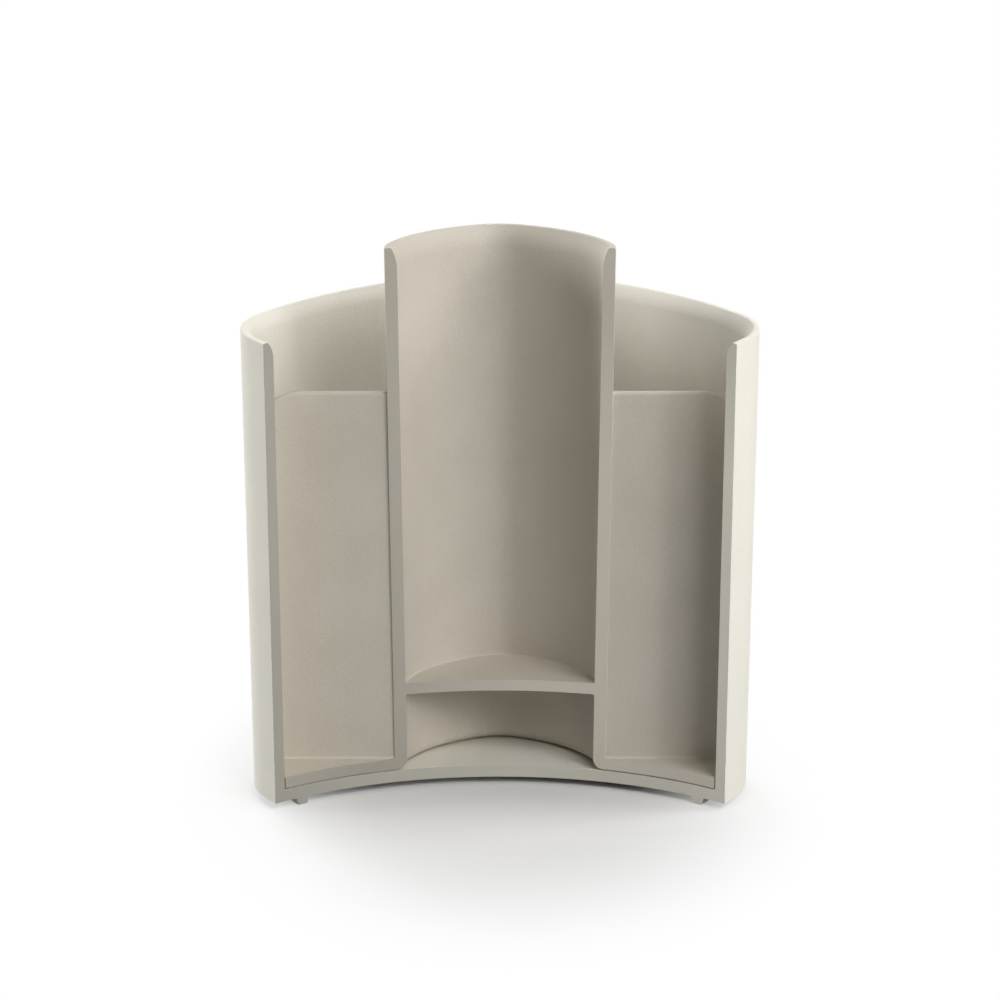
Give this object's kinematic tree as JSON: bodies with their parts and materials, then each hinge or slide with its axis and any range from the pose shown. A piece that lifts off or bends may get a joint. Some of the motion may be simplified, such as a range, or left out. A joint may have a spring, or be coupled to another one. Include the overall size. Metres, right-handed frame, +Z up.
{
  "type": "makeup brush pot",
  "caption": "Desktop pot with a lift-out divided insert and a tall centre tube, shown opened by a round upright cut, for holding makeup brushes and pencils upright.",
  "frame": {"origin": "middle of the opened pot's bounding box in plan, on the surface that the pot stands on", "axes": "+Z up, -Y towards the cut-open front, X left to right, so that the two dividers run along X"},
  "size_m": [0.12, 0.078, 0.1312],
  "materials": {
    "pot_plastic": "satin",
    "insert_plastic": "satin"
  },
  "bodies": {
    "pot": {"outer_pot": "pot_plastic"},
    "insert": {"insert": "insert_plastic"}
  },
  "joints": [
    {"name": "insert_lift", "type": "slide", "parent": "pot", "child": "insert", "axis": [0, 0, 1], "range_m": [0, 0.12]}
  ]
}
